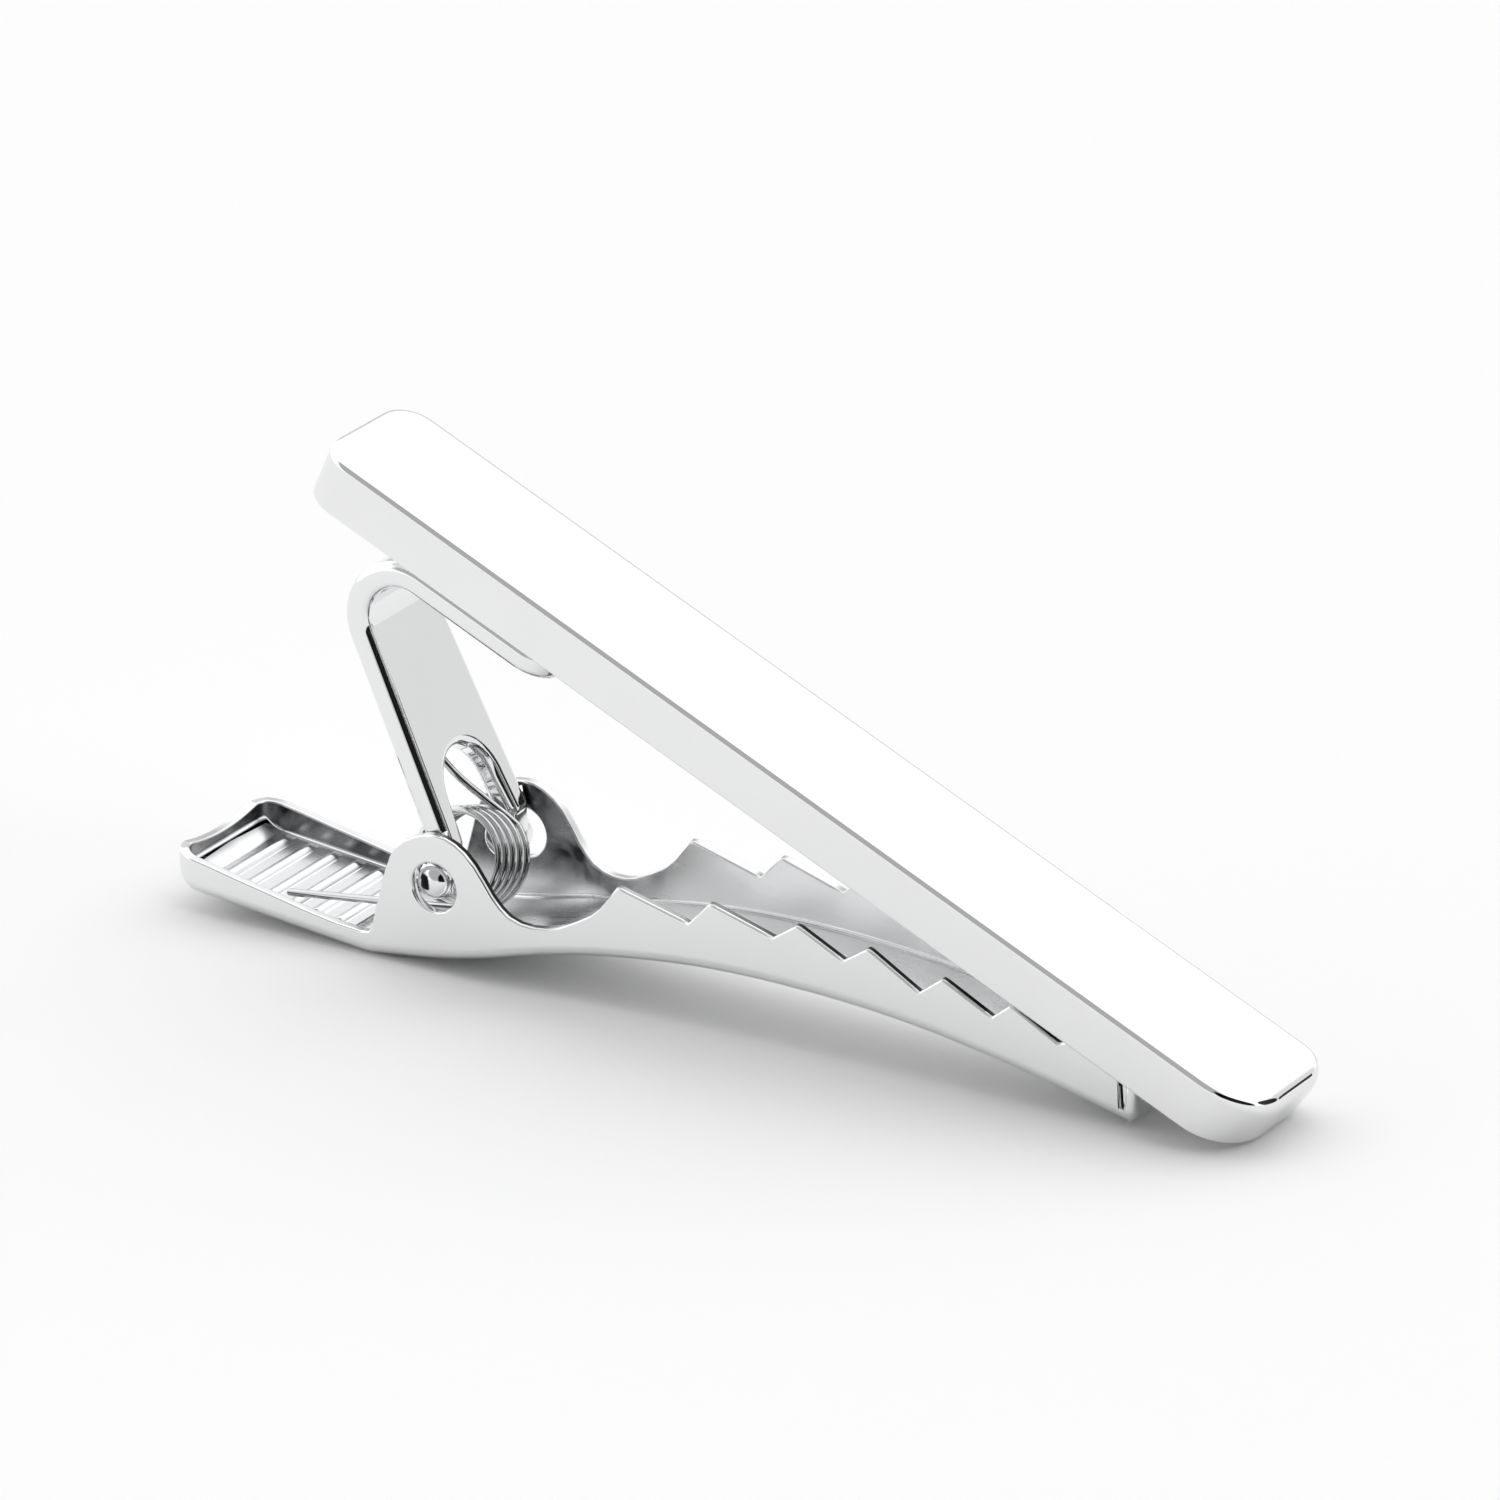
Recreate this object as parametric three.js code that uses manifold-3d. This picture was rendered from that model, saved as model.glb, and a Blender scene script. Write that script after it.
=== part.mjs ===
// Tie clip with a sprung alligator clasp.
// Millimetres, +Z up. The clip stands as it does on a table: on the heel of its jaw and on the low end
// of its bar. +X runs towards that low end, and Y is along the hinge. The origin is on the table, under
// the middle of the clip.

import * as THREE from "three";
import { mergeVertices } from "three/addons/utils/BufferGeometryUtils.js";
import Module from "manifold-3d";

const wasm = await Module();
wasm.setup();

// ---------------------------------------------------------------- driving dimensions

const REST_CENTRE_X = -2.5147; // middle of the clip's length as it rests

const BAR = {
  length: 38.3,
  middle: -0.28, // of its length, along the bar from the place whose back is at backHeight
  width: 5.2,
  height: 1.9,
  cornerRadius: 1.25, // in plan, at the thumb end
  noseRadius: { near: 2.2, far: 1.2 }, // in plan, hand finished: rounder on the -Y side
  edgeRadius: 0.22, // between the sides and the front
  noseSoftness: 1.7, // how much more the edge is rounded at the middle of the nose
  noseDraft: 0.3, // how far the nose's foot lies behind its brow
  backEdge: 0.08,
  crown: 0.1,
  crownInset: 1.0,
  tilt: THREE.MathUtils.degToRad(24.18), // nose down, towards +X
  backHeight: 7.697, // bar's back above the table, at X = 0
};

const SOLDER = { thickness: 0.16, from: -13.9, to: -9.8, width: 4.1 };

// Distances along the leg are measured down it from the end of the loop.
const STRAP = {
  thickness: 0.9,
  drop: 0.2, // top of the foot below the bar's back
  halfWidth: 2.1,
  halfWidthAtHinge: 2.45,
  tongue: -9.1, // end of the foot, along the bar
  tongueRadius: 1.3,
  loopAt: -14.61, // centre of the loop, along the bar
  loopInnerRadius: 1.22,
  legSlope: THREE.MathUtils.degToRad(40.2), // leg below the line of the bar
  slotStart: 4.65,
  slotArch: 1.6,
  slotHalfWidth: 1.35,
  slotHalfWidthAtEnd: 1.48,
  tineBack: 7.4, // where the tine's back leaves the leg's line for the ear
  tineFront: 6.8, // where its front does
  earRadius: 0.68,
  pipRadius: 0.61,
  pipReach: 0.43,
};

const HINGE = { x: -12.73, z: 3.07 };

const JAW = {
  sheet: 0.35,
  bend: 0.5, // outer radius where the walls turn up from the floor
  back: -22.95,
  heel: -15.2,
  tip: 13.3,
  padRise: 0.098, // slope of the thumb pad's floor
  padEndRadius: 0.9,
  backCorner: 1.0, // in plan
  tipCorner: 0.4,
  halfWidth: 2.9, // thumb pad and ears
  neckStart: -11.2,
  neckEnd: -6.6,
  neckHalfWidth: 2.47,
  tipHalfWidth: 2.13,
  rimAtBack: 2.12,
  rimAtEar: 0.82,
  rimDip: 0.24, // the back rim is lower between its corners
  earCentre: { x: -12.55, z: 3.15 },
  earRadius: 1.73,
  holeRadius: 0.86,
  holeOffset: { x: 0.22, z: -0.04 }, // hole's centre from the pip's, which bears on its rear side
  slitWidth: 0.18,
  slitFloor: 0.8,
  tipGap: 0.04, // between the closed jaw and the bar's back
};

// The floor's underside, from the heel to the tip: x and height.
const JAW_UNDERSIDE = [
  [-15.2, 0],
  [-12.1, 0.45],
  [-8.4, 1.3],
  [-4, 1.97],
  [0, 2.12],
  [4.6, 1.84],
  [9, 1.12],
  [13.3, 0.15],
];

// The saddle between the ears and the teeth: x and height.
const JAW_SADDLE = [
  [-10.75, 3.75],
  [-10.2, 3.0],
  [-9.6, 2.48],
  [-8.9, 2.32],
  [-8.1, 2.44],
  [-7.3, 2.83],
  [-6.4, 3.52],
];

// Sawtooth edge: each tooth is a little shorter than the last.
const TEETH = {
  count: 7,
  first: -5.67,
  pitch: 3.36,
  shrink: 0.925,
  run: 0.73, // share of the pitch from a point down to the root in front of it
  firstHeight: 2.53, // above the underside
  lastHeight: 2.14,
  rootHeight: 1.62,
};

const RIBS = { count: 6, first: -21.5, pitch: 0.93, width: 0.5, height: 0.14, endGap: 0.25 };

const SPRING = {
  wireRadius: 0.13,
  coilRadius: 1.6,
  turns: 4,
  pitch: 0.44,
  skew: THREE.MathUtils.degToRad(18), // the coil leans across the hinge line
  centre: new THREE.Vector3(-12.83, -0.2, 3.05),
  start: THREE.MathUtils.degToRad(-84), // where the lower arm meets the coil
  end: THREE.MathUtils.degToRad(53), // where the upper arm leaves it
  lowerArmEnd: new THREE.Vector3(-18.9, -1.75, 1.04),
  armGap: 0.03, // between the upper arm and the strap's back face
  upperArmTurn: 5.3, // where the upper arm comes out behind the strap, down the leg
  upperArmEnd: 3.5,
};

// ---------------------------------------------------------------- solids

function toSolid(geometry) {
  const bare = geometry.clone();
  bare.deleteAttribute("normal");
  bare.deleteAttribute("uv");
  const merged = mergeVertices(bare, 1e-5);
  const mesh = new wasm.Mesh({
    numProp: 3,
    vertProperties: new Float32Array(merged.attributes.position.array),
    triVerts: new Uint32Array(merged.index.array),
  });
  return new wasm.Manifold(mesh);
}

function toGeometry(solid) {
  const mesh = solid.getMesh();
  const geometry = new THREE.BufferGeometry();
  geometry.setAttribute("position", new THREE.BufferAttribute(new Float32Array(mesh.vertProperties), 3));
  geometry.setIndex(new THREE.BufferAttribute(new Uint32Array(mesh.triVerts), 1));
  geometry.computeVertexNormals();
  return geometry;
}

function ringNormal(ring) {
  const normal = new THREE.Vector3();
  ring.forEach((p, i) => {
    const q = ring[(i + 1) % ring.length];
    normal.x += (p.y - q.y) * (p.z + q.z);
    normal.y += (p.z - q.z) * (p.x + q.x);
    normal.z += (p.x - q.x) * (p.y + q.y);
  });
  return normal.normalize();
}

// Triangles across a flat ring, as indices into it.
function ringCap(ring) {
  const u = ring[1].clone().sub(ring[0]).normalize();
  const v = ringNormal(ring).cross(u);
  const flat = ring.map((p) => new THREE.Vector2(p.dot(u), p.dot(v)));
  return THREE.ShapeUtils.triangulateShape(flat, []);
}

// Joins rings of points, one after another, into a closed skin with flat ends.
// A ring runs anticlockwise as seen from beyond the last ring.
function loft(rings) {
  const count = rings[0].length;
  const last = (rings.length - 1) * count;
  const faces = [];
  for (let start = 0; start < last; start += count) {
    for (let i = 0; i < count; i += 1) {
      const a = start + i;
      const b = start + ((i + 1) % count);
      faces.push(a, b, b + count, a, b + count, a + count);
    }
  }
  for (const [i, j, k] of ringCap(rings[0])) {
    faces.push(k, j, i);
  }
  for (const [i, j, k] of ringCap(rings.at(-1))) {
    faces.push(last + i, last + j, last + k);
  }
  const geometry = new THREE.BufferGeometry().setFromPoints(rings.flat());
  geometry.setIndex(faces);
  return geometry;
}

// A cylinder along Y.
function crossPin(x, z, radius, yFrom, yTo, sides = 32) {
  const geometry = new THREE.CylinderGeometry(radius, radius, yTo - yFrom, sides);
  geometry.translate(x, (yFrom + yTo) / 2, z);
  return geometry;
}

function block(x0, x1, y0, y1, z0, z1) {
  const geometry = new THREE.BoxGeometry(x1 - x0, y1 - y0, z1 - z0);
  geometry.translate((x0 + x1) / 2, (y0 + y1) / 2, (z0 + z1) / 2);
  return geometry;
}

// An outline in X and Z, carried along Y.
function sideExtrusion(shape, halfWidth, curveSegments = 12) {
  const options = { depth: 2 * halfWidth, bevelEnabled: false, curveSegments };
  const geometry = new THREE.ExtrudeGeometry(shape, options);
  geometry.rotateX(Math.PI / 2);
  geometry.translate(0, halfWidth, 0);
  return geometry;
}

// A smooth height through a list of [x, height] points, as a function of x.
function smoothThrough(points) {
  const slopeAt = (i) => {
    const [x0, z0] = points[Math.max(i - 1, 0)];
    const [x1, z1] = points[Math.min(i + 1, points.length - 1)];
    return (z1 - z0) / (x1 - x0);
  };
  return (x) => {
    const i = Math.max(1, points.findIndex(([px]) => px >= x));
    const [x0, z0] = points[i - 1];
    const [x1, z1] = points[i];
    const span = x1 - x0;
    const u = (x - x0) / span;
    const rise = z0 * (1 + 2 * u) * (1 - u) ** 2 + z1 * u ** 2 * (3 - 2 * u);
    const lean = slopeAt(i - 1) * u * (1 - u) ** 2 - slopeAt(i) * u ** 2 * (1 - u);
    return rise + lean * span;
  };
}

// ---------------------------------------------------------------- the bar's frame

// Bar pieces are built with X along the bar and Z up from its back, then laid in place.
function layOnBar(geometry) {
  geometry.rotateY(BAR.tilt);
  geometry.translate(0, 0, BAR.backHeight);
  return geometry;
}

function toBarFrame(x, z) {
  const cos = Math.cos(BAR.tilt);
  const sin = Math.sin(BAR.tilt);
  const rise = z - BAR.backHeight;
  return new THREE.Vector2(x * cos - rise * sin, x * sin + rise * cos);
}

function fromBarFrame(point, y) {
  const cos = Math.cos(BAR.tilt);
  const sin = Math.sin(BAR.tilt);
  return new THREE.Vector3(
    point.x * cos + point.y * sin,
    y,
    BAR.backHeight - point.x * sin + point.y * cos,
  );
}

function barBackHeight(x) {
  return BAR.backHeight - x * Math.tan(BAR.tilt);
}

// ---------------------------------------------------------------- front bar

// Plan outline, inset from the bar's edge.
function barRing(inset, height) {
  const cornerSteps = 8;
  const ring = [];
  for (const [quarter, signX, signY] of [[0, 1, 1], [1, -1, 1], [2, -1, -1], [3, 1, -1]]) {
    const nose = signY > 0 ? BAR.noseRadius.far : BAR.noseRadius.near;
    const corner = signX > 0 ? nose : BAR.cornerRadius;
    const centreX = BAR.middle + signX * (BAR.length / 2 - corner);
    const centreY = signY * (BAR.width / 2 - corner);
    for (let i = 0; i <= cornerSteps; i += 1) {
      const angle = ((quarter + i / cornerSteps) * Math.PI) / 2;
      const softer = height > BAR.backEdge ? BAR.noseSoftness * Math.max(0, Math.cos(angle)) ** 2 : 0;
      const draft = signX > 0 ? BAR.noseDraft * Math.max(0, 1 - height / BAR.height) : 0;
      const back = (softer * Math.min(inset, BAR.edgeRadius) + draft) * Math.max(0, Math.cos(angle));
      const x = centreX + (corner - inset) * Math.cos(angle) - back;
      const y = centreY + (corner - inset) * Math.sin(angle);
      const z = height - softer * Math.max(0, BAR.height - height);
      ring.push(new THREE.Vector3(x, y, z));
    }
  }
  return ring;
}

function frontBar() {
  const edgeSteps = 3;
  const shoulder = BAR.height - BAR.edgeRadius;
  const rings = [barRing(BAR.backEdge, 0), barRing(0, BAR.backEdge)];
  for (let i = 0; i <= edgeSteps; i += 1) {
    const angle = (i / edgeSteps) * (Math.PI / 2);
    const inset = BAR.edgeRadius * (1 - Math.cos(angle));
    rings.push(barRing(inset, shoulder + BAR.edgeRadius * Math.sin(angle)));
  }
  rings.push(barRing(BAR.crownInset, BAR.height + BAR.crown));
  return layOnBar(loft(rings));
}

function solderSeam() {
  const gap = (STRAP.drop - SOLDER.thickness) / 2;
  const half = SOLDER.width / 2;
  return layOnBar(block(SOLDER.from, SOLDER.to, -half, half, gap - STRAP.drop, -gap));
}

// ---------------------------------------------------------------- clasp strap

const footUnderside = -STRAP.drop - STRAP.thickness;
const loopCentre = new THREE.Vector2(STRAP.loopAt, footUnderside - STRAP.loopInnerRadius);
const legDown = new THREE.Vector2(Math.cos(STRAP.legSlope), -Math.sin(STRAP.legSlope));
const legForward = new THREE.Vector2(Math.sin(STRAP.legSlope), Math.cos(STRAP.legSlope));
const legStart = loopCentre.clone().addScaledVector(legForward, -STRAP.loopInnerRadius);
const hingeOnBar = toBarFrame(HINGE.x, HINGE.z);

// A place on the leg, in the bar's frame: down it, and in front of its front face.
function onLeg(down, forward) {
  return legStart.clone().addScaledVector(legDown, down).addScaledVector(legForward, forward);
}

function strapSide() {
  const loopEnd = 1.5 * Math.PI - STRAP.legSlope;
  const outerRadius = STRAP.loopInnerRadius + STRAP.thickness;
  const hingeDown = hingeOnBar.clone().sub(legStart).dot(legDown);
  const outline = new THREE.Shape();
  outline.moveTo(STRAP.tongue - STRAP.tongueRadius, footUnderside);
  outline.lineTo(STRAP.tongue - STRAP.tongueRadius, -STRAP.drop);
  outline.lineTo(STRAP.loopAt, -STRAP.drop);
  outline.absarc(loopCentre.x, loopCentre.y, outerRadius, Math.PI / 2, loopEnd, false);
  const tine = [
    onLeg(STRAP.tineBack, -STRAP.thickness),
    onLeg(hingeDown - 0.3, -STRAP.thickness - STRAP.earRadius),
    onLeg(hingeDown + 0.2, -STRAP.thickness + 0.3),
    onLeg(STRAP.tineFront, 0),
  ];
  tine.forEach((p) => outline.lineTo(p.x, p.y));
  outline.absarc(loopCentre.x, loopCentre.y, STRAP.loopInnerRadius, loopEnd, Math.PI / 2, true);
  return outline;
}

// The foot's rounded tongue, in plan.
function strapTongue() {
  const radius = STRAP.tongueRadius;
  const outline = new THREE.Shape();
  outline.moveTo(STRAP.loopAt, -STRAP.halfWidth);
  outline.absarc(STRAP.tongue - radius, radius - STRAP.halfWidth, radius, -Math.PI / 2, 0, false);
  outline.absarc(STRAP.tongue - radius, STRAP.halfWidth - radius, radius, 0, Math.PI / 2, false);
  outline.lineTo(STRAP.loopAt, STRAP.halfWidth);
  const geometry = new THREE.ExtrudeGeometry(outline, { depth: STRAP.thickness, bevelEnabled: false });
  geometry.translate(0, 0, footUnderside);
  return geometry;
}

// An outline down and across the leg, carried square to it.
function legExtrusion(outline) {
  const depth = 16;
  const geometry = new THREE.ExtrudeGeometry(outline, { depth, bevelEnabled: false, curveSegments: 12 });
  const down = new THREE.Vector3(legDown.x, 0, legDown.y);
  const forward = new THREE.Vector3(legForward.x, 0, legForward.y);
  const frame = new THREE.Matrix4().makeBasis(down, new THREE.Vector3(0, 1, 0), forward);
  frame.setPosition(new THREE.Vector3(legStart.x, 0, legStart.y).addScaledVector(forward, -depth / 2));
  geometry.applyMatrix4(frame);
  return geometry;
}

// The strap seen square to its leg: it widens a little towards the hinge.
function strapWidth() {
  const end = 12;
  const start = -6;
  const spread = (STRAP.halfWidthAtHinge - STRAP.halfWidth) / 8.4;
  const outline = new THREE.Shape();
  outline.moveTo(start, -STRAP.halfWidth);
  outline.lineTo(0, -STRAP.halfWidth);
  outline.lineTo(end, -STRAP.halfWidth - spread * end);
  outline.lineTo(end, STRAP.halfWidth + spread * end);
  outline.lineTo(0, STRAP.halfWidth);
  outline.lineTo(start, STRAP.halfWidth);
  return outline;
}

function strapSlot() {
  const arch = STRAP.slotStart + STRAP.slotArch;
  const end = 12;
  const outline = new THREE.Shape();
  outline.moveTo(arch, STRAP.slotHalfWidth);
  outline.absellipse(arch, 0, STRAP.slotArch, STRAP.slotHalfWidth, Math.PI / 2, 1.5 * Math.PI, false);
  outline.lineTo(end, -STRAP.slotHalfWidthAtEnd);
  outline.lineTo(end, STRAP.slotHalfWidthAtEnd);
  return outline;
}

// A domed pip, pointing along +Y or -Y from the tine's outer face.
function hingePip(side) {
  const root = 0.3;
  const profile = [
    [0, -root],
    [1, -root],
    [1, STRAP.pipReach * 0.4],
    [0.8, STRAP.pipReach * 0.8],
    [0.45, STRAP.pipReach * 0.96],
    [0, STRAP.pipReach],
  ].map(([radius, reach]) => new THREE.Vector2(radius * STRAP.pipRadius, reach));
  const geometry = new THREE.LatheGeometry(profile, 24);
  if (side < 0) {
    geometry.rotateX(Math.PI);
  }
  geometry.translate(hingeOnBar.x, side * STRAP.halfWidthAtHinge, hingeOnBar.y);
  return geometry;
}

function claspStrap() {
  const half = STRAP.halfWidthAtHinge;
  const ear = crossPin(hingeOnBar.x, hingeOnBar.y, STRAP.earRadius, -half, half, 28);
  const strap = toSolid(sideExtrusion(strapSide(), half))
    .add(toSolid(ear))
    .intersect(toSolid(legExtrusion(strapWidth())))
    .add(toSolid(strapTongue()))
    .subtract(toSolid(legExtrusion(strapSlot())))
    .add(toSolid(hingePip(1)))
    .add(toSolid(hingePip(-1)));
  return layOnBar(toGeometry(strap));
}

// ---------------------------------------------------------------- toothed jaw

const undersideAhead = smoothThrough(JAW_UNDERSIDE);

function underside(x) {
  if (x >= JAW.heel) {
    return undersideAhead(x);
  }
  const intoEnd = Math.max(0, (JAW.back + JAW.padEndRadius - x) / JAW.padEndRadius);
  const endRise = JAW.padEndRadius * (1 - Math.sqrt(1 - intoEnd ** 2));
  return JAW.padRise * (JAW.heel - x) + endRise;
}

function halfWidth(x, inset) {
  const neck = THREE.MathUtils.smoothstep(x, JAW.neckStart, JAW.neckEnd);
  const taper = THREE.MathUtils.mapLinear(Math.max(x, JAW.neckEnd), JAW.neckEnd, JAW.tip, 0, 1);
  const neckWidth = THREE.MathUtils.lerp(JAW.halfWidth, JAW.neckHalfWidth, neck);
  const width = neckWidth - taper * (JAW.neckHalfWidth - JAW.tipHalfWidth) - inset;
  const cornerCut = (radius, distance) => {
    const into = THREE.MathUtils.clamp(1 - distance / radius, 0, 1);
    return radius * (1 - Math.sqrt(1 - into ** 2));
  };
  const back = cornerCut(JAW.backCorner - inset, x - (JAW.back + inset));
  const tip = cornerCut(JAW.tipCorner, JAW.tip - inset - x);
  return width - back - tip;
}

// The channel's outside, or with an inset its inside, which stays open at the top.
function channelRing(x, inset) {
  const top = 7;
  const bendSteps = 4;
  const radius = JAW.bend - inset;
  const half = halfWidth(x, inset);
  const bottom = underside(THREE.MathUtils.clamp(x, JAW.back + inset * 0.5, JAW.tip)) + inset;
  const ring = [new THREE.Vector3(x, half, top), new THREE.Vector3(x, -half, top)];
  for (const side of [-1, 1]) {
    for (let i = 0; i <= bendSteps; i += 1) {
      const angle = ((side < 0 ? i : bendSteps - i) / bendSteps) * (Math.PI / 2);
      const y = side * (half - radius + radius * Math.cos(angle));
      ring.push(new THREE.Vector3(x, y, bottom + radius - radius * Math.sin(angle)));
    }
  }
  return ring;
}

function channel(inset) {
  const from = JAW.back + inset;
  const to = JAW.tip - inset;
  const stations = [];
  const endSteps = 6;
  for (let i = 0; i <= endSteps; i += 1) {
    stations.push(from + JAW.backCorner * (1 - Math.cos((i / endSteps) * (Math.PI / 2))));
  }
  stations.push(-20, -17.6, JAW.heel);
  for (let x = JAW.heel + 1; x < to - JAW.tipCorner; x += 1) {
    stations.push(x);
  }
  for (let i = 0; i <= 3; i += 1) {
    stations.push(to - JAW.tipCorner * (1 - Math.sin((i / 3) * (Math.PI / 2))));
  }
  return loft(stations.map((x) => channelRing(x, inset)));
}

// The jaw seen from the side: everything above this outline is cut away.
function jawSide() {
  const outline = new THREE.Shape();
  const lead = 1;
  outline.moveTo(JAW.back - lead, -lead);
  outline.lineTo(JAW.tip + lead, -lead);
  outline.lineTo(JAW.tip + lead, barBackHeight(JAW.tip + lead) - JAW.tipGap);
  const teeth = [];
  let x = TEETH.first;
  for (let i = 0; i < TEETH.count; i += 1) {
    const pitch = TEETH.pitch * TEETH.shrink ** i;
    const share = i / (TEETH.count - 1);
    const height = THREE.MathUtils.lerp(TEETH.firstHeight, TEETH.lastHeight, share);
    const point = Math.min(underside(x) + height, barBackHeight(x) - JAW.tipGap);
    teeth.push([x, point]);
    const root = x + TEETH.run * pitch;
    if (i < TEETH.count - 1) {
      teeth.push([root, underside(root) + TEETH.rootHeight]);
    }
    x += pitch;
  }
  teeth.reverse().forEach(([px, pz]) => outline.lineTo(px, pz));
  const saddle = [...JAW_SADDLE].reverse().map(([px, pz]) => new THREE.Vector2(px, pz));
  outline.lineTo(saddle[0].x, saddle[0].y);
  outline.splineThru(saddle.slice(1));
  outline.absarc(JAW.earCentre.x, JAW.earCentre.z, JAW.earRadius, 0.62, Math.PI * 0.96, false);
  outline.lineTo(JAW.heel, JAW.rimAtEar);
  outline.lineTo(JAW.back - lead, JAW.rimAtBack);
  const hole = new THREE.Path();
  const holeX = HINGE.x + JAW.holeOffset.x;
  const holeZ = HINGE.z + JAW.holeOffset.z;
  hole.absarc(holeX, holeZ, JAW.holeRadius, 0, 2 * Math.PI, false);
  outline.holes.push(hole);
  return outline;
}

// A rib across the thumb pad's floor.
function padRib(x) {
  const floor = underside(x) + JAW.sheet;
  const half = RIBS.width / 2;
  const outline = new THREE.Shape();
  outline.moveTo(x - half, floor - 0.1);
  outline.lineTo(x + half, floor - 0.1);
  outline.lineTo(x + half, floor);
  outline.quadraticCurveTo(x, floor + 2 * RIBS.height, x - half, floor);
  return sideExtrusion(outline, JAW.halfWidth - JAW.sheet - RIBS.endGap, 6);
}

// The shallow dip in the thumb pad's back rim.
function rimDip() {
  const span = JAW.halfWidth - JAW.backCorner;
  const radius = (span ** 2 + JAW.rimDip ** 2) / (2 * JAW.rimDip);
  const geometry = new THREE.CylinderGeometry(radius, radius, 1.2, 96);
  geometry.rotateZ(Math.PI / 2);
  geometry.translate(JAW.back, 0, JAW.rimAtBack - JAW.rimDip + radius);
  return geometry;
}

function toothedJaw() {
  let jaw = toSolid(channel(0))
    .subtract(toSolid(channel(JAW.sheet)))
    .intersect(toSolid(sideExtrusion(jawSide(), JAW.halfWidth + 1, 20)))
    .subtract(toSolid(rimDip()));
  const slitEnd = JAW.tip - JAW.sheet;
  for (const side of [-1, 1]) {
    const inner = side * (JAW.tipHalfWidth - JAW.bend);
    const outer = side * (JAW.tipHalfWidth + 1);
    const y0 = Math.min(inner, outer);
    const y1 = Math.max(inner, outer);
    const slit = block(slitEnd - JAW.slitWidth, slitEnd, y0, y1, JAW.slitFloor, 4);
    jaw = jaw.subtract(toSolid(slit));
  }
  for (let i = 0; i < RIBS.count; i += 1) {
    jaw = jaw.add(toSolid(padRib(RIBS.first + i * RIBS.pitch)));
  }
  return toGeometry(jaw);
}

// ---------------------------------------------------------------- torsion spring

// A place on the coil: turned by angle about its axis, from the side that faces the tip.
function onCoil(angle) {
  const turned = (angle - (SPRING.start + SPRING.end) / 2) / (2 * Math.PI);
  const along = (turned - SPRING.turns / 2) * SPRING.pitch;
  const x = SPRING.coilRadius * Math.cos(angle);
  const z = SPRING.coilRadius * Math.sin(angle);
  const place = new THREE.Vector3(x, along, z);
  place.applyAxisAngle(new THREE.Vector3(1, 0, 0), -SPRING.skew);
  return place.add(SPRING.centre);
}

function springPath() {
  const points = [SPRING.lowerArmEnd];
  const coilEnd = SPRING.end + SPRING.turns * 2 * Math.PI;
  const coilStart = onCoil(SPRING.start);
  points.push(SPRING.lowerArmEnd.clone().lerp(coilStart, 0.35));
  points.push(SPRING.lowerArmEnd.clone().lerp(coilStart, 0.75));
  const steps = 20 * SPRING.turns + 8;
  for (let i = 0; i <= steps; i += 1) {
    points.push(onCoil(THREE.MathUtils.lerp(SPRING.start, coilEnd, i / steps)));
  }
  const behind = -STRAP.thickness - SPRING.wireRadius - SPRING.armGap;
  const turn = fromBarFrame(onLeg(SPRING.upperArmTurn, behind), 0.35);
  points.push(onCoil(coilEnd).lerp(turn, 0.4));
  points.push(onCoil(coilEnd).lerp(turn, 0.8));
  points.push(fromBarFrame(onLeg(SPRING.upperArmTurn - 0.5, behind - 0.05), 0.3));
  points.push(fromBarFrame(onLeg(SPRING.upperArmEnd, behind), 0.2));
  return new THREE.CatmullRomCurve3(points, false, "centripetal");
}

function torsionSpring() {
  const section = new THREE.Shape();
  section.absarc(0, 0, SPRING.wireRadius, 0, 2 * Math.PI, false);
  const options = { steps: 130, curveSegments: 4, bevelEnabled: false, extrudePath: springPath() };
  return new THREE.ExtrudeGeometry(section, options);
}

// ---------------------------------------------------------------- assembly

const polished = { color: 0xe9eaec, roughness: 0.06, metalness: 1 };
const wire = { color: 0xd9dbde, roughness: 0.14, metalness: 1 };
const solder = { color: 0x9a9c9f, roughness: 0.35, metalness: 1 };

const clip = new THREE.Group();

function addPiece(name, geometry, look) {
  const mesh = new THREE.Mesh(geometry, new THREE.MeshStandardMaterial(look));
  mesh.name = name;
  clip.add(mesh);
}

addPiece("front_bar", frontBar(), polished);
addPiece("solder_seam", solderSeam(), solder);
addPiece("clasp_strap", claspStrap(), polished);
addPiece("toothed_jaw", toothedJaw(), polished);
addPiece("torsion_spring", torsionSpring(), wire);
clip.position.x = -REST_CENTRE_X;

export default clip;
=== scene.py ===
import math

import bpy
from mathutils import Matrix, Vector
from mathutils.geometry import delaunay_2d_cdt


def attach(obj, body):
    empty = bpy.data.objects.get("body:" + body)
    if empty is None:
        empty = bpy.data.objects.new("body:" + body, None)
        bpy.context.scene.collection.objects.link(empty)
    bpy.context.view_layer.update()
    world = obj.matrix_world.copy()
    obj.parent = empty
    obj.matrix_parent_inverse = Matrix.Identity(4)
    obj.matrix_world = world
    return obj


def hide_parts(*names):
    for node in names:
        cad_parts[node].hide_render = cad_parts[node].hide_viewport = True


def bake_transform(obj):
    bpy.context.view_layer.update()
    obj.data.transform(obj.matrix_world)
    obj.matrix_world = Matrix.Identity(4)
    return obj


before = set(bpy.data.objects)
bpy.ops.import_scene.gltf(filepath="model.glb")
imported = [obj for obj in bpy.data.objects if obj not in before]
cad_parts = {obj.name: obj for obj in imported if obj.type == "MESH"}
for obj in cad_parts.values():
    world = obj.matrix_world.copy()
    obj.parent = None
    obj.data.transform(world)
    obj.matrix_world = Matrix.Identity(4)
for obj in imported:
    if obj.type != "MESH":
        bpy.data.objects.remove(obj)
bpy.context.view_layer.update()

MM = 0.001
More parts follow.
